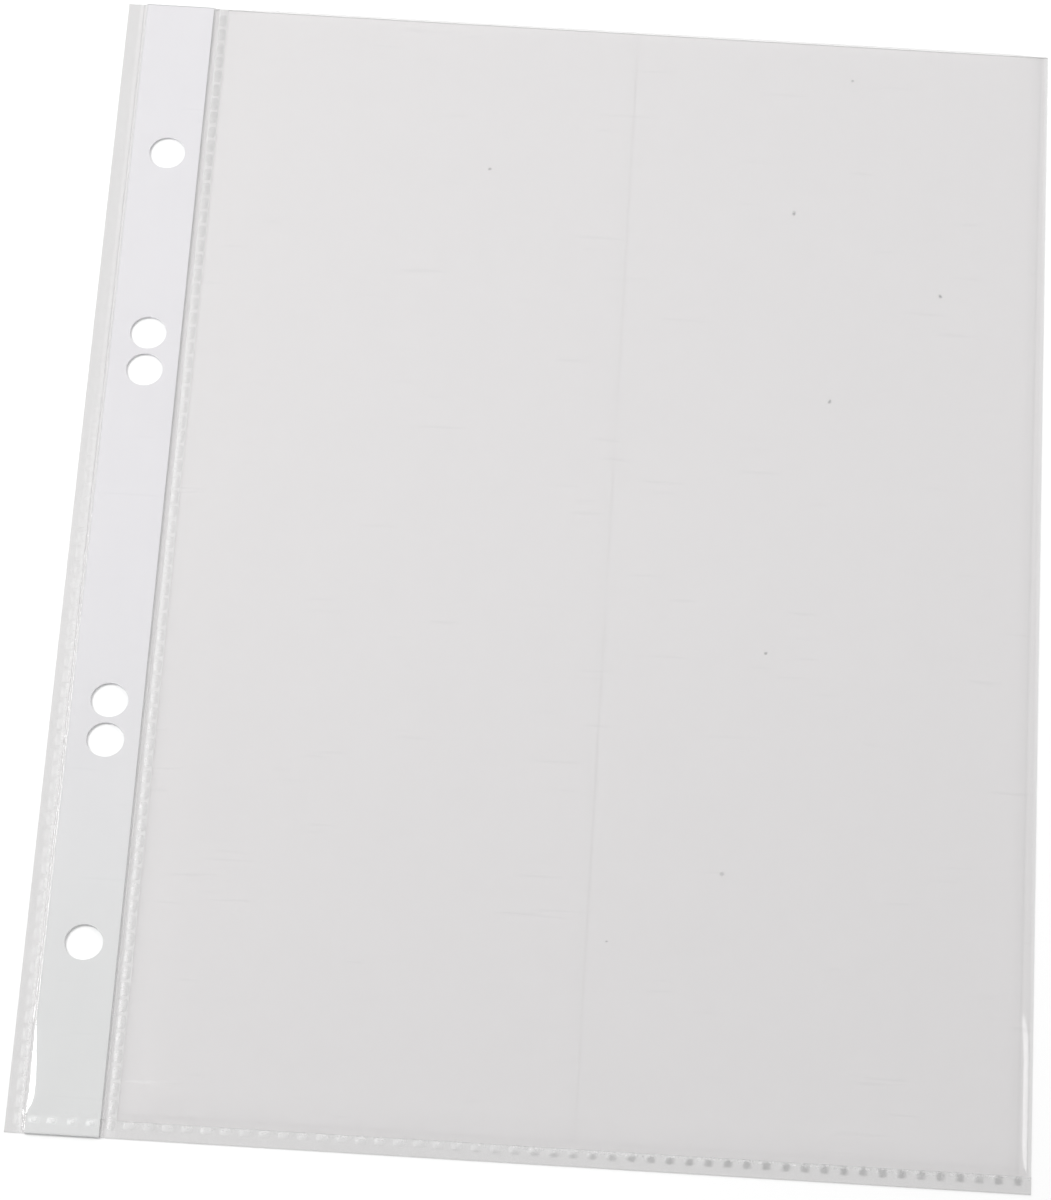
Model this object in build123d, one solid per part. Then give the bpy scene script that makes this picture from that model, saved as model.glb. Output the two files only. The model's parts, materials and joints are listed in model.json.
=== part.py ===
"""A5 sheet protector: a clear film pocket with a punched binding edge around a white strip.

The sheet lies on its back: the open mouth faces +Y, the binding edge is at -X and the front ply
is on top. The origin is the middle of the underside. All sizes are in millimetres.
"""
from build123d import *
import os

# Whole sheet
SHEET_WIDTH = 170.0
SHEET_HEIGHT = 221.0
FILM = 0.08                # one ply of film
BEND_RADIUS = 0.15         # middle of the film, where it bends

# Binding edge, from the left edge inwards
OUTER_LIP = 1.2            # flat film outside the outer weld
WELD_WIDTH = 1.6           # every weld band
BEND_LEAD = 0.15           # flat film between a weld or the hinge line and the rise beside it
BINDING_RISE = 0.4         # run over which the front ply climbs onto the strip
STRIP_CLEARANCE = 0.1      # from each edge of the strip to the bend in the film
STRIP_WIDTH = 12.3
STRIP_THICKNESS = 0.4
HINGE_GAP = 0.4            # line along which the page folds, beside the inner weld

# Punched holes for two-ring and four-ring binders
HOLE_DIAMETER = 6.5
HOLE_FROM_EDGE = 9.9
HOLES_ABOVE_MIDDLE = 1.4
TWO_RING_SPACING = 80.0
FOUR_RING_MIDDLE = 65.0
FOUR_RING_OUTER = 45.0

# Pocket
POCKET_RISE = 0.8          # run over which the front ply climbs from a weld to its own level
LANDING = 0.3              # level film at the head of a rise
BOTTOM_LIP = 1.5           # flat film below the bottom weld
CREASE_WIDTH = 0.6         # folded right edge, where both plies are pressed together
FOLD_RISE = 1.4            # run over which the front ply climbs from the crease
SEAM_GAP = 0.15            # around the front ply, which lifts at the mouth

# Weld cells, raised between the pressed bars
SIDE_PITCH = 3.0
SIDE_BAR = 0.5
BOTTOM_PITCH = 3.2
BOTTOM_BAR = 1.2
CELL_INSET = 0.1           # from the edges of the weld band
CELL_HEIGHT = 0.1
CELL_DRAFT = 40.0          # lean of the cell walls, degrees

# Levels above the underside
WELD_TOP = 2 * FILM
STRIP_BASE = FILM
FRONT_BASE = STRIP_BASE + STRIP_THICKNESS
FRONT_TOP = FRONT_BASE + FILM
WELD_MID = 1.5 * FILM
FRONT_MID = FRONT_BASE + FILM / 2

# Lines across the sheet
LEFT = -SHEET_WIDTH / 2
RIGHT = SHEET_WIDTH / 2
OUTER_WELD_START = LEFT + OUTER_LIP
OUTER_WELD_END = OUTER_WELD_START + WELD_WIDTH
STRIP_START = OUTER_WELD_END + BEND_LEAD + BINDING_RISE + STRIP_CLEARANCE
STRIP_END = STRIP_START + STRIP_WIDTH
BINDING_END = STRIP_END + STRIP_CLEARANCE + BINDING_RISE + BEND_LEAD
INNER_WELD_START = BINDING_END + HINGE_GAP
INNER_WELD_END = INNER_WELD_START + WELD_WIDTH
CREASE_START = RIGHT - CREASE_WIDTH

# Lines up the sheet
BOTTOM = -SHEET_HEIGHT / 2
MOUTH = SHEET_HEIGHT / 2
BOTTOM_WELD_START = BOTTOM + BOTTOM_LIP
BOTTOM_WELD_END = BOTTOM_WELD_START + WELD_WIDTH

# Corners where the rises around the pocket meet, from the weld level up to the landing
LEFT_MITRE = [
    (INNER_WELD_END, BOTTOM_WELD_END),
    (INNER_WELD_END + POCKET_RISE, BOTTOM_WELD_END + POCKET_RISE),
    (INNER_WELD_END + POCKET_RISE + LANDING, BOTTOM_WELD_END + POCKET_RISE + LANDING),
]
RIGHT_MITRE = [
    (CREASE_START, BOTTOM_WELD_END),
    (CREASE_START - FOLD_RISE, BOTTOM_WELD_END + POCKET_RISE),
    (CREASE_START - FOLD_RISE - LANDING, BOTTOM_WELD_END + POCKET_RISE + LANDING),
]


def bent_film(*middle):
    """Section of one ply of film along the bent line through the given points."""
    return trace(FilletPolyline(*middle, radius=BEND_RADIUS), FILM)


def along_y(section, start, end):
    """Run an XZ section up the sheet, from start to end."""
    return extrude(Pos(0, start, 0) * (Plane.XZ * section), amount=end - start, dir=(0, 1, 0))


def along_x(section, start, end):
    """Run a YZ section across the sheet, from start to end."""
    return extrude(Pos(start, 0, 0) * (Plane.YZ * section), amount=end - start, dir=(1, 0, 0))


def ply(x_start, x_end, y_start, y_end, base, thickness):
    """Flat sheet cut square, lying at the given level."""
    outline = Rectangle(x_end - x_start, y_end - y_start, align=Align.MIN)
    return extrude(Pos(x_start, y_start, base) * outline, amount=thickness)


def cutter(outline):
    """Upright prism on a plan outline, taller than the sheet is thick."""
    return extrude(make_face(Polyline(*outline, close=True)), amount=FRONT_TOP + CELL_HEIGHT)


def cells(place, length_x, length_y, pitch_x, count_x, pitch_y, count_y):
    """Pattern of raised weld cells with leaning walls."""
    rows = GridLocations(pitch_x, pitch_y, count_x, count_y)
    pads = Sketch() + [place * spot * Rectangle(length_x, length_y) for spot in rows]
    return extrude(pads, amount=CELL_HEIGHT, taper=CELL_DRAFT)


def cell_count(length, pitch, bar):
    """Whole cells that a weld of this length has room for."""
    return int((length + bar) // pitch)


def side_cells(band_start):
    """Ladder of cells up a side weld."""
    count = cell_count(SHEET_HEIGHT, SIDE_PITCH, SIDE_BAR)
    place = Pos(band_start + WELD_WIDTH / 2, 0, WELD_TOP)
    width = WELD_WIDTH - 2 * CELL_INSET
    return cells(place, width, SIDE_PITCH - SIDE_BAR, WELD_WIDTH, 1, SIDE_PITCH, count)


def bottom_cells(x_start, x_end, level):
    """Row of short cells along the bottom weld, between two lines across the sheet."""
    count = cell_count(x_end - x_start, BOTTOM_PITCH, BOTTOM_BAR)
    place = Pos((x_start + x_end) / 2, BOTTOM_WELD_START + WELD_WIDTH / 2, level)
    depth = WELD_WIDTH - 2 * CELL_INSET
    return cells(place, BOTTOM_PITCH - BOTTOM_BAR, depth, BOTTOM_PITCH, count, WELD_WIDTH, 1)


def punched_holes():
    """Ring holes through the binding edge, as one cutting tool."""
    inner_pair = FOUR_RING_MIDDLE / 2
    outer_pair = inner_pair + FOUR_RING_OUTER
    heights = [side * y for y in (inner_pair, TWO_RING_SPACING / 2, outer_pair) for side in (-1, 1)]
    spots = Locations(*[(LEFT + HOLE_FROM_EDGE, HOLES_ABOVE_MIDDLE + y) for y in heights])
    return extrude(Sketch() + [spot * Circle(HOLE_DIAMETER / 2) for spot in spots], amount=FRONT_TOP)


def binding_section():
    """Front ply of the binding edge: up from the outer weld, over the strip and down again."""
    return bent_film(
        (OUTER_WELD_END, WELD_MID),
        (OUTER_WELD_END + BEND_LEAD, WELD_MID),
        (STRIP_START - STRIP_CLEARANCE, FRONT_MID),
        (STRIP_END + STRIP_CLEARANCE, FRONT_MID),
        (BINDING_END - BEND_LEAD, WELD_MID),
        (BINDING_END, WELD_MID),
    )


def outer_weld():
    """Both plies sealed along the left edge, with the flat lip outside the cells."""
    return ply(LEFT, OUTER_WELD_END, BOTTOM, MOUTH, 0, WELD_TOP) + side_cells(OUTER_WELD_START)


def binding_front_film():
    return along_y(binding_section(), BOTTOM_WELD_END, MOUTH) - punched_holes()


def binding_bottom_weld():
    """Front ply at the foot of the binding edge, with the cells that fix it to the strip."""
    foot = along_y(binding_section(), BOTTOM, BOTTOM_WELD_END)
    return foot + bottom_cells(STRIP_START - STRIP_CLEARANCE, STRIP_END + STRIP_CLEARANCE, FRONT_TOP)


def reinforcement_strip():
    return ply(STRIP_START, STRIP_END, BOTTOM, MOUTH, STRIP_BASE, STRIP_THICKNESS) - punched_holes()


def binding_back_film():
    return ply(OUTER_WELD_END, BINDING_END, BOTTOM, MOUTH, 0, FILM) - punched_holes()


def inner_weld():
    """Seal between strip and pocket, with the rise of the front ply on the pocket's side."""
    front = bent_film(
        (INNER_WELD_START, WELD_MID),
        (INNER_WELD_END, WELD_MID),
        (INNER_WELD_END + POCKET_RISE, FRONT_MID),
        (INNER_WELD_END + POCKET_RISE + LANDING, FRONT_MID),
    )
    head = LEFT_MITRE[-1]
    below_mitre = cutter([(INNER_WELD_END, BOTTOM), (head[0], BOTTOM), *reversed(LEFT_MITRE)])
    back = ply(INNER_WELD_START, INNER_WELD_END, BOTTOM, MOUTH, 0, FILM)
    return along_y(front, BOTTOM, MOUTH) - below_mitre + back + side_cells(INNER_WELD_START)


def bottom_weld():
    """Seal along the pocket's foot, with the rise of the front ply mitred at both ends."""
    front = bent_film(
        (BOTTOM, WELD_MID),
        (BOTTOM_WELD_END, WELD_MID),
        (BOTTOM_WELD_END + POCKET_RISE, FRONT_MID),
        (BOTTOM_WELD_END + POCKET_RISE + LANDING, FRONT_MID),
    )
    left_head = LEFT_MITRE[-1]
    right_head = RIGHT_MITRE[-1]
    past_left = cutter([*LEFT_MITRE, (INNER_WELD_END, left_head[1])])
    past_right = cutter([*RIGHT_MITRE, (RIGHT, right_head[1]), (RIGHT, BOTTOM_WELD_END)])
    back = ply(INNER_WELD_END, RIGHT, BOTTOM, BOTTOM_WELD_END, 0, FILM)
    seal = along_x(front, INNER_WELD_END, RIGHT) - past_left - past_right + back
    return seal + bottom_cells(INNER_WELD_END, RIGHT, WELD_TOP)


def right_fold():
    """Crease where the back ply turns over into the front ply."""
    turn_start = RIGHT - FILM
    walls = Polyline((turn_start, WELD_TOP), (CREASE_START, WELD_TOP), (CREASE_START, 0), (turn_start, 0))
    turn = ThreePointArc((turn_start, 0), (RIGHT, FILM), (turn_start, WELD_TOP))
    return along_y(make_face([*walls.edges(), turn.edge()]), BOTTOM_WELD_END, MOUTH)


def fold_shoulder():
    """Front ply climbing from the crease to the level of the pocket's front."""
    front = bent_film(
        (CREASE_START, WELD_MID),
        (CREASE_START - BEND_LEAD, WELD_MID),
        (CREASE_START - FOLD_RISE, FRONT_MID),
        (CREASE_START - FOLD_RISE - LANDING, FRONT_MID),
    )
    head = RIGHT_MITRE[-1]
    below_mitre = cutter([*RIGHT_MITRE, (head[0], BOTTOM_WELD_END)])
    return along_y(front, BOTTOM_WELD_END, MOUTH) - below_mitre


def pocket_back_film():
    return ply(INNER_WELD_END, CREASE_START, BOTTOM_WELD_END, MOUTH, 0, FILM)


def pocket_front_film():
    """Front ply, free along the mouth and inset from the rises so that it can lift."""
    x_start = LEFT_MITRE[-1][0] + SEAM_GAP
    x_end = RIGHT_MITRE[-1][0] - SEAM_GAP
    y_start = LEFT_MITRE[-1][1] + SEAM_GAP
    return ply(x_start, x_end, y_start, MOUTH, FRONT_BASE, FILM)


NODES = [
    outer_weld,
    binding_front_film,
    binding_bottom_weld,
    reinforcement_strip,
    binding_back_film,
    inner_weld,
    pocket_back_film,
    bottom_weld,
    right_fold,
    fold_shoulder,
    pocket_front_film,
]

os.makedirs("parts", exist_ok=True)
for node in NODES:
    export_step(node(), f"parts/{node.__name__}.step")
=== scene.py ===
"""Looks of a sheet protector: clear film plies, crimped welds and a white punched strip."""
import json
import math

import bpy
import numpy as np
from mathutils import Matrix, Vector


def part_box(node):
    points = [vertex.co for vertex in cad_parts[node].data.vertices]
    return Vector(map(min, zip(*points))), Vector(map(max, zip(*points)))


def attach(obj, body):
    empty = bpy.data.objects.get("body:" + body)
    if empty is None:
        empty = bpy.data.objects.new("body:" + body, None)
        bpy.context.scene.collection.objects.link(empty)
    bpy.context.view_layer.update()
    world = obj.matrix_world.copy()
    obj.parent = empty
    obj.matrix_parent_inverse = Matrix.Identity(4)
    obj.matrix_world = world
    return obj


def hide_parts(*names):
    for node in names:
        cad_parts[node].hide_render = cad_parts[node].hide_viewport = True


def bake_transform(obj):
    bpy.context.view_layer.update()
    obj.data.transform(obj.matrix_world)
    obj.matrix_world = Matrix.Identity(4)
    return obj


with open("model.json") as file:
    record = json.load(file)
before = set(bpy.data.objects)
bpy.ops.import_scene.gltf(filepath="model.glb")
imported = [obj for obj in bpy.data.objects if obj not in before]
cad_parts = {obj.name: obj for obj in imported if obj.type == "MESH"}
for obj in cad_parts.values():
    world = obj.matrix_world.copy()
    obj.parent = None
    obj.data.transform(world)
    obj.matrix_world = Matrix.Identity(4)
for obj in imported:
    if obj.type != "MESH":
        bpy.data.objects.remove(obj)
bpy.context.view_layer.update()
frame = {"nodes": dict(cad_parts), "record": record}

MM = 0.001

# Lines and levels of the sheet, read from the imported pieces
OUTER_WELD_LOW, OUTER_WELD_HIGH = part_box("outer_weld")
STRIP_LOW, STRIP_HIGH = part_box("reinforcement_strip")
BACK_LOW, BACK_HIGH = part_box("pocket_back_film")
FRONT_LOW, FRONT_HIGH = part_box("pocket_front_film")
LEFT = OUTER_WELD_LOW.x
OUTER_WELD_END = OUTER_WELD_HIGH.x
STRIP_MIDDLE = (STRIP_LOW.x + STRIP_HIGH.x) / 2
BINDING_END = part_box("binding_back_film")[1].x
INNER_WELD_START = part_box("inner_weld")[0].x
POCKET_LEFT = BACK_LOW.x
CREASE_START = BACK_HIGH.x
CENTRE_LINE = (POCKET_LEFT + CREASE_START) / 2
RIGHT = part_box("right_fold")[1].x
BOTTOM = OUTER_WELD_LOW.y
BOTTOM_WELD_END = BACK_LOW.y
LIFT_LINE = FRONT_LOW.y
MOUTH = OUTER_WELD_HIGH.y
FRONT_TOP = FRONT_HIGH.z
FILM = FRONT_TOP - FRONT_LOW.z
WELD_TOP = 2 * FILM
HOLES = [mount for mount in frame["record"]["mounts"] if mount["kind"] == "bore"]
HOLE_RADIUS = HOLES[0]["dims"]["r_mm"] * MM
PUNCH_LENGTH = 20 * FILM

# Weld cells
WELD_WIDTH = 1.6 * MM
SIDE_PITCH = 3.0 * MM
SIDE_BAR = 0.5 * MM
BOTTOM_PITCH = 3.2 * MM
BOTTOM_BAR = 1.2 * MM
CELL_INSET = 0.1 * MM
CELL_HEIGHT = 0.14 * MM
CELL_DEPTH = WELD_WIDTH - 2 * CELL_INSET
CELL_RIM = 0.12                  # height at the rim, as a share of the crown's
CELL_ROOT = 0.4                  # depth that a cell is set into the film, as a share of its height
CELL_CORNER = 0.14               # how far the corners draw in, as a share of the cell's half width
OUTER_WELD_MIDDLE = OUTER_WELD_END - WELD_WIDTH / 2
INNER_WELD_MIDDLE = POCKET_LEFT - WELD_WIDTH / 2
BOTTOM_WELD_MIDDLE = BOTTOM_WELD_END - WELD_WIDTH / 2

# Bends of the film
AIR = 0.02 * MM                  # between the strip and the plies around it
BEND_LEAD = 0.15 * MM            # flat film before a rise
BINDING_RISE = 0.4 * MM
POCKET_SIDE_RISE = 8.0 * MM
POCKET_FOOT_RISE = 3.0 * MM
FOLD_RISE_AT_FOOT = 1.2 * MM
FOLD_RISE_AT_MOUTH = 8.0 * MM
STEEP_FOLD = 24 * MM             # stretch of the right fold with the short rise, from the foot up
STEEP_FOLD_FADE = 26 * MM

# Loose film beside the strip, near the foot of the binding edge
BULGE_START = 2.5 * MM           # length along the sheet that it grows over
BULGE_LENGTH = 11 * MM           # where it begins to fade
BULGE_FADE = 9 * MM
BULGE_LOSS = 0.95                # share of it that fades
BULGE_BEND = 0.4 * MM
BULGE_RUN = 2.2 * MM
BULGE_FALL = 4.0 * MM
BULGE_SLOPE = 0.33
SLOPE_LENGTH = 4 * MM
SLOPE_FADE = 11 * MM
BEND_STEEPNESS = 1.26            # at the weld, where no slope follows the bend
BEND_EASING = 1.73               # taken off that for each unit of slope

# How the fold line beside the strip strays towards the mouth
FOLD_STRAY = 0.12 * MM
SHORT_WAVE = 1.3 * MM
LONG_WAVE = 4.1 * MM

# Steps of the meshes
FINE_STEP = 0.06 * MM
COARSE_STEP = 3.0 * MM
ROW_STEP = 2.0 * MM
HOLE_SIDES = 96
CREASE_POINTS = 13


class Value:
    """An output socket that is used like a number in Python expressions."""

    def __init__(self, socket):
        self.socket = socket

    def out(self, name):
        return Value(find_socket(self.socket.node.outputs, name))

    def maths(self, operation, first, second):
        nodes = Nodes(self.socket.id_data)
        return nodes.add("ShaderNodeMath", {"operation": operation}, Value=first, Value_001=second)

    def __add__(self, other):
        return self.maths("ADD", self, other)

    def __radd__(self, other):
        return self.maths("ADD", other, self)

    def __sub__(self, other):
        return self.maths("SUBTRACT", self, other)

    def __rsub__(self, other):
        return self.maths("SUBTRACT", other, self)

    def __mul__(self, other):
        return self.maths("MULTIPLY", self, other)

    def __rmul__(self, other):
        return self.maths("MULTIPLY", other, self)

    def __truediv__(self, other):
        return self.maths("DIVIDE", self, other)

    def __pow__(self, other):
        return self.maths("POWER", self, other)

    def __gt__(self, other):
        return self.maths("GREATER_THAN", self, other)

    def __abs__(self):
        return self.maths("ABSOLUTE", self, 0.0)

    def fraction(self):
        return self.maths("FRACT", self, 0.0)


class Nodes:
    """Adds nodes to one node tree."""

    def __init__(self, tree):
        self.tree = tree

    def add(self, kind, settings=None, **sockets):
        """Add a node, set it up, then give its sockets values or links. Returns its first output."""
        node = self.tree.nodes.new(kind)
        for name, value in (settings or {}).items():
            setattr(node, name, value)
        for name, value in sockets.items():
            socket = find_socket(node.inputs, name)
            parts = value if isinstance(value, list) else [value]
            for part in parts:
                if isinstance(part, Value):
                    self.tree.links.new(part.socket, socket)
                else:
                    socket.default_value = part
        return Value(node.outputs[0]) if node.outputs else node

    def noise(self, place, scale, detail):
        return self.add("ShaderNodeTexNoise", Vector=place, Scale=scale, Detail=detail)

    def colour_between(self, share, first, second):
        mixed = self.add("ShaderNodeMix", {"data_type": "RGBA"},
                         Factor_Float=share, A_Color=first, B_Color=second)
        return mixed.out("Result_Color")

    def layered(self, share, under, over):
        """A share of one shader over another."""
        return self.add("ShaderNodeMixShader", Fac=share, Shader=under, Shader_001=over)

    def step(self, value, low, high):
        """Soft step from 0 at low to 1 at high."""
        return self.add("ShaderNodeMapRange", {"interpolation_type": "SMOOTHSTEP"},
                        Value=value, From_Min=low, From_Max=high)

    def ridge(self, value, low, top, high):
        """Soft rise from 0 at low to 1 at top, and back to 0 at high."""
        return self.step(value, low, top) - self.step(value, top, high)

    def down_sheet(self, y, start, end):
        """Soft step towards the foot of the sheet, from 0 at start to 1 at end."""
        return self.step(-1 * y, -start, -end)


def find_socket(sockets, name):
    """Socket whose identifier or name is the given one, with underscores for spaces."""
    for label in ("identifier", "name"):
        for socket in sockets:
            if getattr(socket, label).replace(" ", "_") == name:
                return socket
    raise KeyError(name)


# Finishes

FILM_SHINE = 0.075               # what both faces of one ply mirror, seen square on
FILM_ROUGHNESS = 0.1
WELD_ROUGHNESS = 0.5
FILM_TINT = (0.988, 0.9855, 0.986, 1)
WELD_TINT = (0.927, 0.9245, 0.9245, 1)
CREASE_TINT = (0.94, 0.9375, 0.938, 1)
NO_TINT = (1, 1, 1, 1)
GLOSS = (0.97, 0.97, 0.97, 1)
# White for the film's mist and for painted light; dark for dust specks, cut edges and painted shade
MIST_AND_PAINTED_LIGHT = (0.9, 0.9, 0.9, 1)
DUST_AND_PAINTED_SHADE = (0.2, 0.2, 0.2, 1)
# Strip colours with painted light: lit and cool at the mouth end, shaded and greyer at the foot
STRIP_LIT_COOL = [(0.715, 0.712, 0.735, 1), (0.765, 0.762, 0.78, 1)]
STRIP_SHADED_GREY = [(0.686, 0.698, 0.698, 1), (0.734, 0.747, 0.741, 1)]
FLOOR_WHITE = [(0.9, 0.9, 0.9, 1), (0.93, 0.93, 0.93, 1)]
FOLD_MARK = RIGHT - 1.8 * MM     # line where the right fold was pressed, at half height
FOLD_MARK_SLANT = 1.0 * MM / (MOUTH - BOTTOM)
SEAMS = {
    "X": [OUTER_WELD_END, INNER_WELD_START, POCKET_LEFT, CENTRE_LINE, CREASE_START],
    "Y": [BOTTOM_WELD_END, LIFT_LINE],
}
SEAM_WIDTH = 0.002 * MM
CUT_EDGE_SHADE = 0.12


def new_material(name):
    material = bpy.data.materials.new(name)
    material.use_nodes = True
    material.node_tree.nodes.clear()
    nodes = Nodes(material.node_tree)
    place = nodes.add("ShaderNodeTexCoord").out("Object")
    return material, nodes, place


def across_and_along(nodes, place):
    """Distances from the middle of the sheet, towards the right and towards the mouth."""
    spot = nodes.add("ShaderNodeSeparateXYZ", Vector=place)
    return spot.out("X"), spot.out("Y")


def off_seams(nodes, place):
    """0 on the upright faces where two pieces of the same film meet, 1 elsewhere."""
    spot = nodes.add("ShaderNodeSeparateXYZ", Vector=place)
    mask = 1.0
    for axis, lines in SEAMS.items():
        for line in lines:
            mask = mask * (abs(spot.out(axis) - line) > SEAM_WIDTH)
    return mask


def film_surface(nodes, place, tint, haze_and_painted_light, dark, roughness, bump):
    """Clear film: what it mirrors, the mist and painted light in it, the dust and painted shade in it, and
    what shows through.
    Only the face that light enters by counts, so that one ply mirrors once, and seams don't show."""
    entered = 1 - nodes.add("ShaderNodeNewGeometry").out("Backfacing")
    facing = nodes.add("ShaderNodeLayerWeight", Blend=0.5, Normal=bump).out("Facing")
    shine = (FILM_SHINE + (1 - FILM_SHINE) * facing ** 5) * entered
    clear = nodes.add("ShaderNodeBsdfTransparent", Color=tint)
    mist_and_painted_light = nodes.add("ShaderNodeBsdfDiffuse", Color=MIST_AND_PAINTED_LIGHT)
    dust_and_painted_shade = nodes.add("ShaderNodeBsdfDiffuse", Color=DUST_AND_PAINTED_SHADE)
    gloss = nodes.add("ShaderNodeBsdfGlossy", Color=GLOSS, Roughness=roughness, Normal=bump)
    unseen = nodes.add("ShaderNodeBsdfTransparent", Color=NO_TINT)
    # The white layer carries the film's own mist and painted light; the dark layer carries dust, cut edges
    # and painted shade
    body = nodes.layered(haze_and_painted_light * entered, clear, mist_and_painted_light)
    marked = nodes.layered(dark * entered, body, dust_and_painted_shade)
    surface = nodes.layered(shine, marked, gloss)
    nodes.add("ShaderNodeOutputMaterial", Surface=nodes.layered(off_seams(nodes, place), unseen, surface))


def clear_film(name, tint):
    """Smooth polypropylene film with faint clouding, fine scuffs and a few dust specks. It carries painted
    light along both sides of the strip, and painted shade along the line where the right fold was pressed
    flat, beside the inner weld and towards the foot."""
    material, nodes, place = new_material(name)
    x, y = across_and_along(nodes, place)
    cloud = nodes.noise(place, 38.0, 1.0)
    slanted = nodes.add("ShaderNodeMapping", Vector=place, Rotation=(0, 0, 0.5), Scale=(70.0, 900.0, 70.0))
    scuff = nodes.step(nodes.noise(slanted, 1.0, 1.0), 0.66, 0.74)
    dust = nodes.step(nodes.noise(place, 520.0, 0.0), 0.89, 0.91)
    lower = nodes.down_sheet(y, 20 * MM, -60 * MM)
    cut_edge = nodes.step(y, MOUTH - 0.3 * MM, MOUTH)
    beside_weld = nodes.ridge(x, POCKET_LEFT - 0.2 * MM, POCKET_LEFT + 0.3 * MM, POCKET_LEFT + 1.5 * MM)
    beside_strip = (nodes.step(x, OUTER_WELD_END - 0.1 * MM, OUTER_WELD_END + 0.3 * MM)
                    - nodes.step(x, STRIP_LOW.x - 0.1 * MM, STRIP_LOW.x + 0.3 * MM))
    fold_line = nodes.ridge(x, STRIP_HIGH.x - 0.1 * MM, STRIP_HIGH.x + 0.15 * MM, BINDING_END)
    fold_side = nodes.ridge(x, STRIP_HIGH.x, STRIP_HIGH.x + 0.4 * MM, INNER_WELD_START + 0.1 * MM)
    from_mark = x - FOLD_MARK_SLANT * y - FOLD_MARK
    pressed = nodes.ridge(from_mark, -2.6 * MM, 0.0, 0.6 * MM)
    crease_line = nodes.ridge(from_mark, -0.5 * MM, 0.0, 0.4 * MM)
    # Painted light: white beside the strip (beside_strip, fold_line, and towards the foot fold_side) lifts
    # the strip's shade
    haze_and_painted_light = (0.018 + 0.012 * cloud + 0.012 * scuff + 0.2 * fold_line + 0.14 * lower * fold_side
            + 0.2 * beside_strip)
    # Painted shade along the pressed fold line, beside the inner weld and towards the foot; dust darkens
    # specks
    dark = (0.25 * dust + 0.3 * cut_edge + 0.013 * pressed + 0.01 * crease_line
            + lower * (0.005 + 0.012 * beside_weld))
    bump = nodes.add("ShaderNodeBump", Strength=0.05, Distance=0.4 * MM, Height=cloud)
    film_surface(nodes, place, tint, haze_and_painted_light, dark, FILM_ROUGHNESS + 0.1 * scuff, bump)
    return material


def weld_marks(nodes, place, level):
    """Masks of a weld whose cells stand above a level: the cells, their rims, blotches and specks, which
    the welds use for painted highlights. Last comes the bump of the cells' pebbled faces."""
    height = nodes.add("ShaderNodeSeparateXYZ", Vector=place).out("Z")
    cell = nodes.step(height, level, level + 0.2 * CELL_HEIGHT)
    rim = cell - nodes.step(height, level + 0.2 * CELL_HEIGHT, level + 0.8 * CELL_HEIGHT)
    blotch = nodes.noise(place, 900.0, 1.0)
    pebble = nodes.noise(place, 2200.0, 0.0)
    bump = nodes.add("ShaderNodeBump", Strength=0.2, Distance=0.2 * MM, Height=cell * pebble)
    return cell, rim, blotch, nodes.step(pebble, 0.56, 0.62), bump


def cut_foot(nodes, y):
    """The cut edge of the film at the foot of the sheet."""
    return nodes.down_sheet(y, BOTTOM + 0.25 * MM, BOTTOM)


def cut_ends(nodes, y):
    """The cut edges of a weld that runs from the foot to the mouth."""
    return cut_foot(nodes, y) + nodes.step(y, MOUTH - 0.2 * MM, MOUTH)


def outer_weld_film():
    """Ladder weld down the outer side: a grey lip, cells with painted highlights and with painted shade on
    their outer halves, and painted highlight ticks beside the strip that grow towards the foot."""
    material, nodes, place = new_material("outer_weld_film")
    x, y = across_and_along(nodes, place)
    cell, rim, blotch, speck, bump = weld_marks(nodes, place, WELD_TOP)
    from_middle = (x - OUTER_WELD_MIDDLE) / WELD_WIDTH
    strip_side = nodes.step(from_middle, -0.1, 0.3)
    tick = nodes.ridge(from_middle, 0.1, 0.35, 0.6)
    below_top = nodes.down_sheet(y, 60 * MM, -30 * MM)
    lower = nodes.down_sheet(y, 0.0, -80 * MM)
    to_foot = nodes.down_sheet(y, -50 * MM, -100 * MM)
    lip = (1 - cell) * (1 - strip_side)
    # Painted highlights: light cells, strongest on the strip side, and bright ticks beside the strip
    painted_glint = cell * (0.05 * strip_side + 0.1 * blotch + to_foot * (0.04 * blotch + 0.06 * strip_side))
    haze_and_painted_light = 0.02 + 0.2 * lower * tick * speck + below_top * (strip_side * (0.04 + 0.06 * blotch) + painted_glint)
    # Painted shade on the cells: their outer halves, more towards the top, and their rims at the foot
    painted_cell_shade = (1 - strip_side) * (0.06 + 0.03 * (1 - lower)) + 0.05 * to_foot * rim * blotch
    dark = (0.025 * (1 - below_top) + lip * (0.075 + 0.025 * lower) + cell * painted_cell_shade
            + CUT_EDGE_SHADE * cut_ends(nodes, y))
    film_surface(nodes, place, WELD_TINT, haze_and_painted_light, dark, WELD_ROUGHNESS + 0.1 * blotch, bump)
    return material


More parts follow.
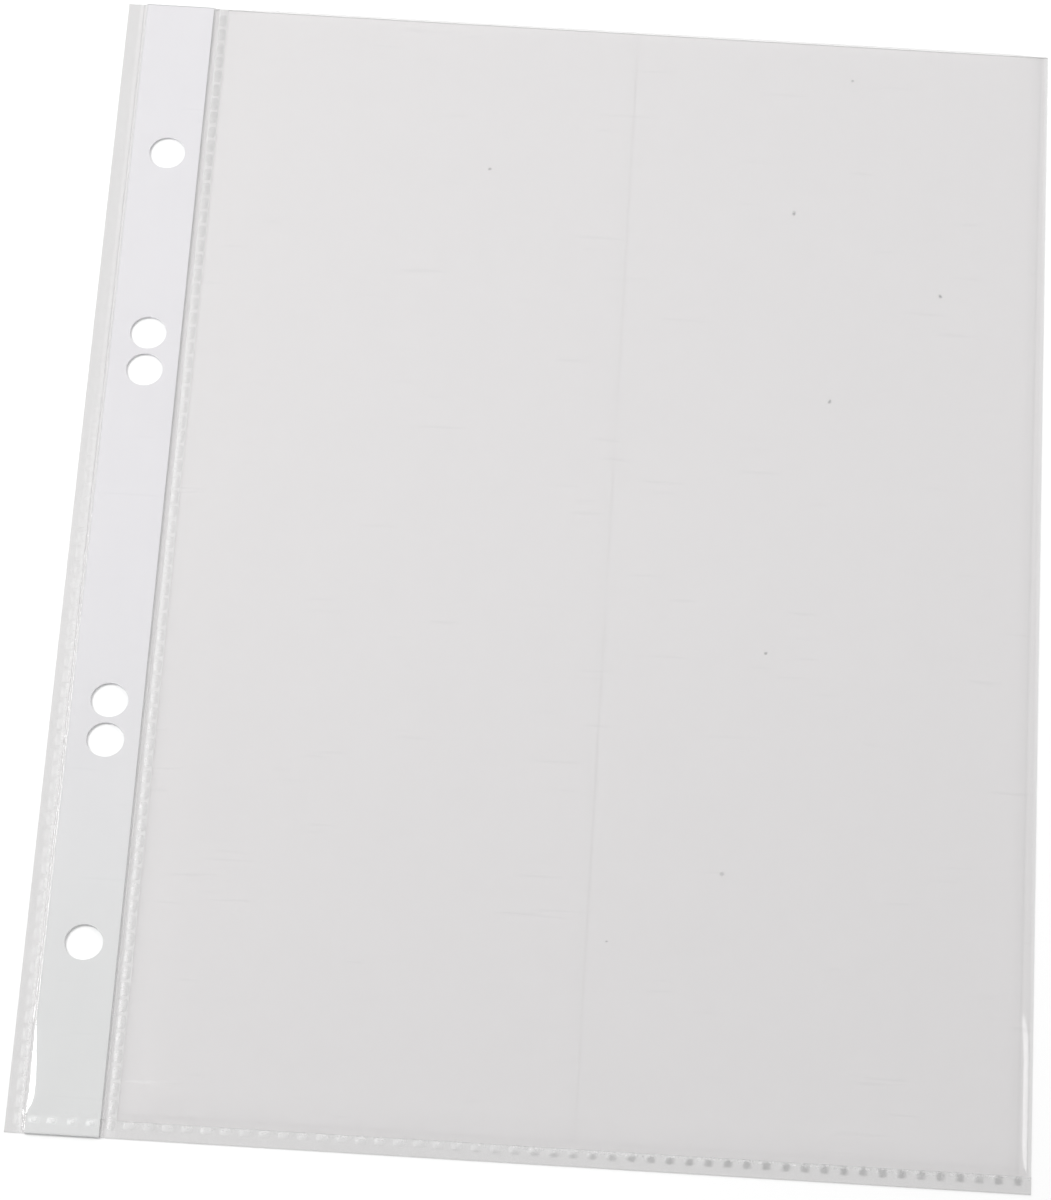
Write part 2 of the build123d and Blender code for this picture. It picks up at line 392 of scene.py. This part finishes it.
def inner_weld_film():
    """Ladder weld beside the pocket: painted shade on the cells between lighter bars at the mouth, and
    further down painted highlight specks on the binding side and painted shade on the pocket side."""
    material, nodes, place = new_material("inner_weld_film")
    x, y = across_and_along(nodes, place)
    cell, rim, blotch, speck, bump = weld_marks(nodes, place, WELD_TOP)
    from_middle = (x - INNER_WELD_MIDDLE) / WELD_WIDTH
    bar = (1 - cell) * (1 - nodes.step(abs(from_middle), 0.4, 0.5))
    pocket_side = nodes.step(from_middle, -0.25, 0.2)
    to_mouth = nodes.step(y, 0.0, 100 * MM)
    to_foot = nodes.down_sheet(y, 30 * MM, -100 * MM)
    # Painted highlights: blotches on the cells at the foot, and specks further down the sheet, mostly on
    # the binding side
    painted_glint = 0.05 * to_foot * blotch + (1 - to_mouth) * speck * (0.12 + 0.06 * to_foot)
    haze_and_painted_light = 0.02 + cell * (1 - 0.8 * pocket_side) * painted_glint
    # Painted shade on the cells: all across at the mouth, on the pocket side further down, and on their
    # rims at the foot
    painted_cell_shade = 0.03 + 0.08 * pocket_side + to_mouth * (0.095 + 0.14 * blotch - 0.08 * pocket_side)
    dark = (0.02 + 0.04 * pocket_side + 0.075 * to_mouth * bar + cell * painted_cell_shade
            + to_foot * (0.02 * bar + 0.05 * rim * blotch) + CUT_EDGE_SHADE * cut_ends(nodes, y))
    film_surface(nodes, place, WELD_TINT, haze_and_painted_light, dark, WELD_ROUGHNESS + 0.1 * blotch, bump)
    return material


def from_cell_middle(x, first):
    """Distance along the bottom weld to the middle of the nearest cell."""
    return abs(((x - first) / BOTTOM_PITCH + 0.5).fraction() - 0.5) * BOTTOM_PITCH


def bottom_weld_film(first):
    """Weld under the pocket: soft painted highlights on the cells at the left, painted shade patches with
    painted highlight specks at the right. The first cell's middle sets where the painted shade patches
    sit."""
    material, nodes, place = new_material("bottom_weld_film")
    x, y = across_and_along(nodes, place)
    cell, _, blotch, speck, bump = weld_marks(nodes, place, WELD_TOP)
    to_left = 1 - nodes.step(x, -40 * MM, 40 * MM)
    to_right = nodes.step(x, -30 * MM, 60 * MM)
    across = y - BOTTOM_WELD_MIDDLE
    far_side = nodes.ridge(across, -0.1 * MM, 0.4 * MM, 0.9 * MM)
    from_shade_end = across - MM * (-0.5 + 1.3 * to_right)
    patch = ((1 - nodes.step(from_cell_middle(x, first), 0.0, 1.4 * MM))
             * nodes.step(across, -1.3 * MM, -0.5 * MM)
             * (1 - nodes.step(from_shade_end, -0.5 * MM, 0.5 * MM)))
    # Painted shade: patches on the near side of the cells at the right
    shaded = nodes.step(x, -30 * MM, 30 * MM) * nodes.step(patch * (0.3 + blotch), 0.05, 0.95)
    # Painted highlights: soft light cells at the left, and specks on the cells' far side, brighter at the
    # right
    haze_and_painted_light = (0.02 + to_left * cell * (0.07 + 0.08 * blotch + 0.03 * far_side)
            + (0.1 + 0.25 * to_right) * speck * far_side)
    dark = 0.095 + 0.012 * to_left * (1 - cell) + CUT_EDGE_SHADE * cut_foot(nodes, y) + 0.23 * shaded
    film_surface(nodes, place, WELD_TINT, haze_and_painted_light, dark, WELD_ROUGHNESS + 0.1 * blotch, bump)
    return material


def binding_foot_film(first):
    """Film welded at the foot of the binding edge: clear, with a painted highlight dot in each cell."""
    material, nodes, place = new_material("binding_foot_film")
    x, y = across_and_along(nodes, place)
    cell, _, blotch, _, bump = weld_marks(nodes, place, FRONT_TOP + AIR)
    highlight_dot = ((1 - nodes.step(from_cell_middle(x, first), 0.1 * MM, 0.7 * MM))
           * (1 - nodes.step(abs(y - BOTTOM_WELD_MIDDLE), 0.1 * MM, 0.7 * MM)))
    # Painted highlight: a light dot in each cell
    haze_and_painted_light = 0.02 + highlight_dot * (0.1 + 0.6 * blotch)
    dark = CUT_EDGE_SHADE * cut_foot(nodes, y)
    film_surface(nodes, place, FILM_TINT, haze_and_painted_light, dark, FILM_ROUGHNESS + 0.4 * cell, bump)
    return material


def white_plastic():
    """Satin white plastic with faint roller streaks along its length, painted light leaving it a little
    cool and lighter at the mouth end, and painted shade leaving it greyer and darker at the foot."""
    material, nodes, place = new_material("white_plastic")
    _, y = across_and_along(nodes, place)
    cloud = nodes.noise(place, 60.0, 4.0)
    along = nodes.add("ShaderNodeMapping", Vector=place, Scale=(900.0, 25.0, 900.0))
    streak = nodes.noise(along, 1.0, 2.0)
    grain = nodes.noise(place, 3000.0, 2.0)
    mottle = 0.6 * cloud + 0.4 * streak
    cool = nodes.colour_between(mottle, *STRIP_LIT_COOL)
    grey = nodes.colour_between(mottle, *STRIP_SHADED_GREY)
    # Painted light and shade: from the lit cool colour at the mouth to the shaded grey one at the foot
    tone = nodes.colour_between(nodes.down_sheet(y, 0.0, -100 * MM), cool, grey)
    bump = nodes.add("ShaderNodeBump", Strength=0.08, Distance=0.1 * MM, Height=grain + streak)
    surface = nodes.add("ShaderNodeBsdfPrincipled", Base_Color=tone,
                        Roughness=0.42 + 0.12 * grain, Normal=bump)
    nodes.add("ShaderNodeOutputMaterial", Surface=surface)
    return material


# Meshes of film

def smooth(t):
    """Soft step of an array, from 0 to 1."""
    t = np.clip(t, 0.0, 1.0)
    return t * t * (3 - 2 * t)


def even(start, end, step):
    """Lines from start to end, at most one step apart."""
    return np.linspace(start, end, max(2, math.ceil(abs(end - start) / step) + 1))


def graded(start, end, run):
    """Lines from start to end: fine steps over the first run, then wider and wider ones."""
    way = math.copysign(1, end - start)
    lines = list(even(start, start + way * run, FINE_STEP))
    gap = FINE_STEP
    while abs(end - lines[-1]) > 2 * gap:
        lines.append(lines[-1] + way * gap)
        gap = min(1.3 * gap, COARSE_STEP)
    return np.array(lines + [end])


def mesh_object(name, points, faces, material=None):
    mesh = bpy.data.meshes.new(name)
    mesh.from_pydata(points, [], faces)
    if material:
        mesh.materials.append(material)
    piece = bpy.data.objects.new(name, mesh)
    bpy.context.scene.collection.objects.link(piece)
    return piece


def ply_object(name, columns, rows, top, thickness, material=None):
    """Closed sheet of film on a grid of lines, hung from a top surface given as a function."""
    x, y = np.meshgrid(np.unique(columns), np.unique(rows))
    upper = top(x, y)
    points = [np.stack([x, y, z], -1).reshape(-1, 3) for z in (upper, upper - thickness)]
    index = np.arange(x.size).reshape(x.shape)
    corners = [index[:-1, :-1], index[:-1, 1:], index[1:, 1:], index[1:, :-1]]
    quads = np.stack(corners, -1).reshape(-1, 4)
    rim = np.concatenate([index[0, :-1], index[:-1, -1], index[-1, :0:-1], index[:0:-1, 0]])
    ahead = np.roll(rim, -1)
    walls = np.stack([ahead, rim, rim + x.size, ahead + x.size], -1)
    faces = np.concatenate([quads, quads[:, ::-1] + x.size, walls])
    return mesh_object(name, np.concatenate(points).tolist(), faces.tolist(), material)


def level(height):
    """Flat top surface."""
    return lambda x, y: np.full_like(x, height)


def shade(piece, angle=35.0):
    """Smooth shading, with sharp edges where faces turn by more than the angle."""
    piece.data.shade_smooth()
    piece.data.set_sharp_from_angle(angle=math.radians(angle))
    return piece


# Geometry Nodes for what repeats: the weld cells and the punched holes

def geometry_tree(name, inputs):
    """New tree with a geometry input and the given named ones; returns it, its nodes and its inputs."""
    tree = bpy.data.node_groups.new(name, "GeometryNodeTree")
    for label, kind in {"Geometry": "Geometry", **inputs}.items():
        tree.interface.new_socket(label, in_out="INPUT", socket_type="NodeSocket" + kind)
    tree.interface.new_socket("Geometry", in_out="OUTPUT", socket_type="NodeSocketGeometry")
    nodes = Nodes(tree)
    return tree, nodes, nodes.add("NodeGroupInput")


def weld_cell_tree():
    """Rounded cells along a line, fused with the film that they are pressed into."""
    tree, nodes, given = geometry_tree("weld_cells", {
        "Cells": "Int", "First Cell": "Vector", "Step": "Vector", "Cell Size": "Vector",
        "Seed": "Int", "Material": "Material"})
    size = nodes.add("ShaderNodeSeparateXYZ", Vector=given.out("Cell_Size"))
    block = nodes.add("GeometryNodeMeshCube", Size=given.out("Cell_Size"),
                      Vertices_X=6, Vertices_Y=6, Vertices_Z=2)
    place = nodes.add("ShaderNodeSeparateXYZ", Vector=nodes.add("GeometryNodeInputPosition"))
    x = place.out("X")
    y = place.out("Y")
    height = size.out("Z")
    edge_x = (2 * x / size.out("X")) ** 4
    edge_y = (2 * y / size.out("Y")) ** 4
    crown = height * (CELL_RIM + (1 - CELL_RIM) * (1 - edge_x) * (1 - edge_y))
    root = CELL_ROOT * height
    is_top = place.out("Z") > 0.0
    pillowed = nodes.add("ShaderNodeCombineXYZ", X=x * (1 - CELL_CORNER * edge_y),
                         Y=y * (1 - CELL_CORNER * edge_x), Z=is_top * (crown + root) - root)
    pillow = nodes.add("GeometryNodeSetPosition", Geometry=block, Position=pillowed)
    line = nodes.add("GeometryNodeMeshLine", Count=given.out("Cells"),
                     Start_Location=given.out("First_Cell"), Offset=given.out("Step"))
    scale = nodes.add("FunctionNodeRandomValue", {"data_type": "FLOAT_VECTOR"},
                      Min=(0.92, 0.92, 0.75), Max=(1.04, 1.04, 1.25), Seed=given.out("Seed"))
    tilt = nodes.add("FunctionNodeRandomValue", {"data_type": "FLOAT_VECTOR"},
                     Min=(-0.02, -0.02, -0.05), Max=(0.02, 0.02, 0.05), Seed=given.out("Seed"))
    cells = nodes.add("GeometryNodeInstanceOnPoints", Points=line, Instance=pillow,
                      Rotation=tilt, Scale=scale)
    real = nodes.add("GeometryNodeRealizeInstances", Geometry=cells)
    fused = nodes.add("GeometryNodeMeshBoolean", {"operation": "UNION", "solver": "EXACT"},
                      Mesh_2=[given.out("Geometry"), real])
    dressed = nodes.add("GeometryNodeSetMaterial", Geometry=fused, Material=given.out("Material"))
    nodes.add("NodeGroupOutput", Geometry=dressed)
    return tree


def ring_hole_tree():
    """Round holes at the given centres, punched through a ply."""
    tree, nodes, given = geometry_tree("ring_holes", {
        "Hole Centres": "Object", "Hole Radius": "Float", "Punch Length": "Float",
        "Material": "Material"})
    centres = nodes.add("GeometryNodeObjectInfo", Object=given.out("Hole_Centres")).out("Geometry")
    punch = nodes.add("GeometryNodeMeshCylinder", Vertices=HOLE_SIDES, Radius=given.out("Hole_Radius"),
                      Depth=given.out("Punch_Length"))
    punches = nodes.add("GeometryNodeInstanceOnPoints", Points=centres, Instance=punch)
    real = nodes.add("GeometryNodeRealizeInstances", Geometry=punches)
    punched = nodes.add("GeometryNodeMeshBoolean", {"operation": "DIFFERENCE", "solver": "EXACT"},
                        Mesh_1=given.out("Geometry"), Mesh_2=[real])
    dressed = nodes.add("GeometryNodeSetMaterial", Geometry=punched, Material=given.out("Material"))
    nodes.add("NodeGroupOutput", Geometry=dressed)
    return tree


def finish_with(piece, tree, **inputs):
    """Run a geometry tree on a piece and keep the result as its plain mesh."""
    modifier = piece.modifiers.new(tree.name, "NODES")
    modifier.node_group = tree
    for item in tree.interface.items_tree:
        label = item.name.replace(" ", "_")
        if item.in_out == "INPUT" and label in inputs:
            modifier[item.identifier] = inputs[label]
    evaluated = piece.evaluated_get(bpy.context.evaluated_depsgraph_get())
    rough = piece.data
    piece.data = bpy.data.meshes.new_from_object(evaluated)
    piece.modifiers.remove(modifier)
    bpy.data.meshes.remove(rough)
    return piece


WELD_CELLS = weld_cell_tree()
RING_HOLES = ring_hole_tree()
CLEAR_FILM = clear_film("film", FILM_TINT)
CREASE_FILM = clear_film("crease_film", CREASE_TINT)


def cell_row(start, end, pitch, bar):
    """How many cells a weld between two ends has room for, and where the middle of the first one is."""
    count = int((end - start + bar) // pitch)
    return count, (start + end - pitch * (count - 1)) / 2


def press_side_cells(band, middle, seed, material):
    """Ladder of cells up a side weld."""
    count, first = cell_row(BOTTOM, MOUTH, SIDE_PITCH, SIDE_BAR)
    return finish_with(band, WELD_CELLS, Cells=count, Seed=seed, Material=material,
                       First_Cell=(middle, first, WELD_TOP), Step=(0, SIDE_PITCH, 0),
                       Cell_Size=(CELL_DEPTH, SIDE_PITCH - SIDE_BAR, CELL_HEIGHT))


def press_bottom_cells(band, start, end, height, film, seed):
    """Row of short cells along the bottom weld, in a film that knows where the first cell is."""
    count, first = cell_row(start, end, BOTTOM_PITCH, BOTTOM_BAR)
    return finish_with(band, WELD_CELLS, Cells=count, Seed=seed, Material=film(first),
                       First_Cell=(first, BOTTOM_WELD_MIDDLE, height), Step=(BOTTOM_PITCH, 0, 0),
                       Cell_Size=(BOTTOM_PITCH - BOTTOM_BAR, CELL_DEPTH, CELL_HEIGHT))


def punch_ring_holes(ply):
    """The six holes of the binding edge, through one ply."""
    centres = mesh_object("hole_centres", [mount["pos_m"] for mount in HOLES], [])
    finish_with(ply, RING_HOLES, Hole_Centres=centres, Hole_Radius=HOLE_RADIUS,
                Punch_Length=PUNCH_LENGTH, Material=CLEAR_FILM)
    bpy.data.objects.remove(centres)
    return ply


# Binding edge

def looseness(y):
    """Share of the bulge beside the strip: none at the weld, full just above it, then almost none."""
    up = y - BOTTOM_WELD_END
    return smooth(up / BULGE_START) * (1 - BULGE_LOSS * smooth((up - BULGE_LENGTH) / BULGE_FADE))


def loose_top(x, y):
    """Top of the loose film: a bend up from the outer weld, a flattening slope and a fall to the strip."""
    run = x - OUTER_WELD_END
    slope = BULGE_SLOPE * (1 - smooth((y - BOTTOM_WELD_END - SLOPE_LENGTH) / SLOPE_FADE))
    bend = (BEND_STEEPNESS - BEND_EASING * slope) * BULGE_BEND * (1 - np.exp(-run / BULGE_BEND))
    along = np.minimum(run, BULGE_RUN)
    swell = WELD_TOP + bend + slope * along * (1 - along / (2 * BULGE_RUN))
    return swell + (FRONT_TOP + AIR - swell) * smooth((run - BULGE_RUN) / BULGE_FALL)


def binding_top(x, y):
    """Top of the front ply: up from the outer weld, over the strip and down to the fold line."""
    climb = smooth((x - OUTER_WELD_END - BEND_LEAD) / BINDING_RISE)
    stray = FOLD_STRAY * smooth(y / MOUTH) * np.sin(y / SHORT_WAVE) * np.sin(y / LONG_WAVE)
    fall = smooth((BINDING_END - BEND_LEAD - x + stray) / BINDING_RISE)
    tight = WELD_TOP + (FRONT_TOP + AIR - WELD_TOP) * np.minimum(climb, fall)
    return np.where(x < STRIP_MIDDLE, tight + looseness(y) * (loose_top(x, y) - tight), tight)


BINDING_COLUMNS = np.concatenate([
    graded(OUTER_WELD_END, STRIP_MIDDLE, BULGE_RUN),
    graded(INNER_WELD_START, STRIP_MIDDLE, INNER_WELD_START - STRIP_HIGH.x),
])


def bind(piece, node):
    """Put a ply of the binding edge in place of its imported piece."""
    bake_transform(shade(piece))
    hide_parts(node)


def outer_weld():
    """Sealed left edge."""
    band = ply_object("outer_weld_ladder", [LEFT, OUTER_WELD_END], even(BOTTOM, MOUTH, ROW_STEP),
                      level(WELD_TOP), WELD_TOP)
    press_side_cells(band, OUTER_WELD_MIDDLE, seed=3, material=outer_weld_film())
    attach(shade(band), "binding_edge")
    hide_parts("outer_weld")


def binding_front_ply():
    """Punched film over the strip."""
    ply = ply_object("binding_front_ply", BINDING_COLUMNS, even(BOTTOM_WELD_END, MOUTH, ROW_STEP / 2),
                     binding_top, FILM, CLEAR_FILM)
    bind(punch_ring_holes(ply), "binding_front_film")


def binding_foot():
    """Foot of that film, with the cells that fix it to the strip."""
    ply = ply_object("binding_foot", BINDING_COLUMNS, even(BOTTOM, BOTTOM_WELD_END, ROW_STEP / 2),
                     binding_top, FILM)
    press_bottom_cells(ply, STRIP_LOW.x, STRIP_HIGH.x, FRONT_TOP + AIR, binding_foot_film, seed=5)
    bind(ply, "binding_bottom_weld")


def binding_back_ply():
    """Punched film under the strip."""
    columns = np.concatenate([[OUTER_WELD_END], even(BINDING_END, INNER_WELD_START, FINE_STEP)])
    ply = ply_object("binding_back_ply", columns, even(BOTTOM, MOUTH, ROW_STEP),
                     level(FILM - AIR), FILM - AIR, CLEAR_FILM)
    bind(punch_ring_holes(ply), "binding_back_film")


# Pocket

def front_top(x, y):
    """Top of the pocket's front ply, climbing from the welds and from the right fold."""
    flatter = smooth((y - BOTTOM - STEEP_FOLD) / STEEP_FOLD_FADE)
    fold_rise = FOLD_RISE_AT_FOOT + (FOLD_RISE_AT_MOUTH - FOLD_RISE_AT_FOOT) * flatter
    climb = np.minimum.reduce([
        smooth((x - POCKET_LEFT) / POCKET_SIDE_RISE),
        smooth((CREASE_START - x) / fold_rise),
        smooth((y - BOTTOM_WELD_END) / POCKET_FOOT_RISE),
    ])
    return WELD_TOP + (FRONT_TOP - WELD_TOP) * climb


FRONT_LEFT_COLUMNS = graded(POCKET_LEFT, CENTRE_LINE, WELD_WIDTH)
FRONT_RIGHT_COLUMNS = graded(CREASE_START, CENTRE_LINE, FOLD_RISE_AT_FOOT)


def inner_weld():
    """Seal between the strip and the pocket."""
    band = ply_object("inner_weld_ladder", [INNER_WELD_START, POCKET_LEFT],
                      even(BOTTOM, MOUTH, ROW_STEP), level(WELD_TOP), WELD_TOP)
    press_side_cells(band, INNER_WELD_MIDDLE, seed=7, material=inner_weld_film())
    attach(shade(band), "pocket")
    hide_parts("inner_weld")


def bottom_weld():
    """Seal along the foot of the pocket."""
    band = ply_object("bottom_weld_row", even(POCKET_LEFT, RIGHT, ROW_STEP), [BOTTOM, BOTTOM_WELD_END],
                      level(WELD_TOP), WELD_TOP)
    press_bottom_cells(band, POCKET_LEFT, RIGHT, WELD_TOP, bottom_weld_film, seed=11)
    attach(shade(band), "pocket")
    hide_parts("bottom_weld")


def foot_rise():
    """Front ply between the bottom weld and the line that it lifts along."""
    columns = np.concatenate([FRONT_LEFT_COLUMNS, FRONT_RIGHT_COLUMNS])
    ply = ply_object("foot_rise", columns, even(BOTTOM_WELD_END, LIFT_LINE, FINE_STEP),
                     front_top, FILM, CLEAR_FILM)
    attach(shade(ply), "pocket")
    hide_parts("bottom_weld")


def pocket_back_ply():
    """Back of the pocket, lying flat."""
    ply = ply_object("pocket_back_ply", even(POCKET_LEFT, CREASE_START, COARSE_STEP),
                     even(BOTTOM_WELD_END, MOUTH, COARSE_STEP), level(FILM), FILM, CLEAR_FILM)
    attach(shade(ply), "pocket")
    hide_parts("pocket_back_film")


def right_crease():
    """Folded edge, where the back ply turns over into the front ply."""
    turn = [(RIGHT - FILM + FILM * math.sin(angle), FILM - FILM * math.cos(angle))
            for angle in np.linspace(0, math.pi, CREASE_POINTS)]
    section = [(CREASE_START, 0.0), *turn, (CREASE_START, WELD_TOP)]
    rows = even(BOTTOM_WELD_END, MOUTH, ROW_STEP)
    size = len(section)
    points = [(x, y, z) for y in rows for x, z in section]
    faces = [tuple(range(size)), tuple(range(len(points) - 1, len(points) - size - 1, -1))]
    for start in range(0, len(points) - size, size):
        for k in range(size):
            after = (k + 1) % size
            faces.append((start + after, start + k, start + size + k, start + size + after))
    crease = mesh_object("right_crease", points, faces, CREASE_FILM)
    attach(shade(crease), "pocket")
    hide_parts("right_fold")


def front_ply(name, columns, sealed, *nodes):
    """Half of the pocket's front ply, in place of the imported pieces. The sealed side that it is given is
    not used.
    """
    ply = ply_object(name, columns, even(LIFT_LINE, MOUTH, ROW_STEP), front_top, FILM, CLEAR_FILM)
    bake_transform(shade(ply))
    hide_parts(*nodes)


outer_weld()
binding_front_ply()
binding_foot()
binding_back_ply()
inner_weld()
bottom_weld()
foot_rise()
pocket_back_ply()
right_crease()
front_ply("front_ply_left", FRONT_LEFT_COLUMNS, POCKET_LEFT, "pocket_front_film")
front_ply("front_ply_right", FRONT_RIGHT_COLUMNS, CREASE_START, "pocket_front_film", "fold_shoulder")
strip = frame["nodes"]["reinforcement_strip"]
strip.material_slots[0].material = white_plastic()


# Stage, light and camera

FLOOR_GAP = 0.02 * MM
FLOOR_HALF = 4.0
CAMERA_TURN = math.radians(-1.505)
CAMERA_ELEVATION = math.radians(63.989)
CAMERA_ROLL = math.radians(2.082)
CAMERA_DISTANCE = 0.86246
CAMERA_TARGET = Vector((-4.669, -6.992, 0)) * MM
CAMERA_LENS = 148.37             # millimetres, on a 36 mm long side
CAMERA_SENSOR = 36.0


def floor():
    """Plain pale floor just under the sheet."""
    material, nodes, place = new_material("floor_paper")
    tone = nodes.colour_between(nodes.noise(place, 3.0, 2.0), *FLOOR_WHITE)
    surface = nodes.add("ShaderNodeBsdfPrincipled", Base_Color=tone, Roughness=0.95,
                        Specular_IOR_Level=0.0)
    nodes.add("ShaderNodeOutputMaterial", Surface=surface)
    corners = [(-1, -1), (1, -1), (1, 1), (-1, 1)]
    points = [(x * FLOOR_HALF, y * FLOOR_HALF, -FLOOR_GAP) for x, y in corners]
    ground = mesh_object("floor", points, [(0, 1, 2, 3)], material)


def softbox(name, place, width, height, power):
    """Soft lamp that faces the middle of the sheet."""
    lamp = bpy.data.lights.new(name, "AREA")
    lamp.shape = "RECTANGLE"
    lamp.size = width
    lamp.size_y = height
    lamp.energy = power
    box = bpy.data.objects.new(name, lamp)
    box.location = place
    box.rotation_euler = (-Vector(place)).to_track_quat("-Z", "Y").to_euler()
    bpy.context.scene.collection.objects.link(box)


def studio_sky():
    """Soft light from all round, dimmer overhead."""
    world = bpy.data.worlds.new("studio_sky")
    world.use_nodes = True
    world.node_tree.nodes.clear()
    nodes = Nodes(world.node_tree)
    height = nodes.add("ShaderNodeSeparateXYZ", Vector=nodes.add("ShaderNodeTexCoord")).out("Z")
    strength = 0.77 - 0.32 * nodes.step(height, 0.4, 0.85) - 0.28 * nodes.step(height, 0.9, 0.98)
    light = nodes.add("ShaderNodeBackground", Color=(1, 1, 1, 1), Strength=strength)
    nodes.add("ShaderNodeOutputWorld", Surface=light)
    bpy.context.scene.world = world


def camera():
    """Long lens, looking down on the sheet from the foot."""
    back = Vector((-math.sin(CAMERA_TURN) * math.cos(CAMERA_ELEVATION),
                   -math.cos(CAMERA_TURN) * math.cos(CAMERA_ELEVATION),
                   math.sin(CAMERA_ELEVATION)))
    right = Vector((math.cos(CAMERA_TURN), -math.sin(CAMERA_TURN), 0))
    axes = Matrix((right, back.cross(right), back)).transposed()
    lens = bpy.data.cameras.new("camera")
    lens.sensor_width = CAMERA_SENSOR
    lens.lens = CAMERA_LENS
    eye = bpy.data.objects.new("camera", lens)
    eye.location = CAMERA_TARGET + CAMERA_DISTANCE * back
    eye.rotation_euler = (axes @ Matrix.Rotation(CAMERA_ROLL, 3, "Z")).to_euler()
    bpy.context.scene.collection.objects.link(eye)
    bpy.context.scene.camera = eye


floor()
studio_sky()
softbox("key_left", (-0.60, 0.20, 0.80), 0.45, 0.45, 6.55)
softbox("fill_right", (0.85, 0.3, 0.7), 0.5, 0.5, 1.8)
softbox("window_back", (0.15, 0.9, 0.48), 0.5, 0.35, 1.65)
camera()
bpy.context.scene.view_settings.view_transform = "Standard"
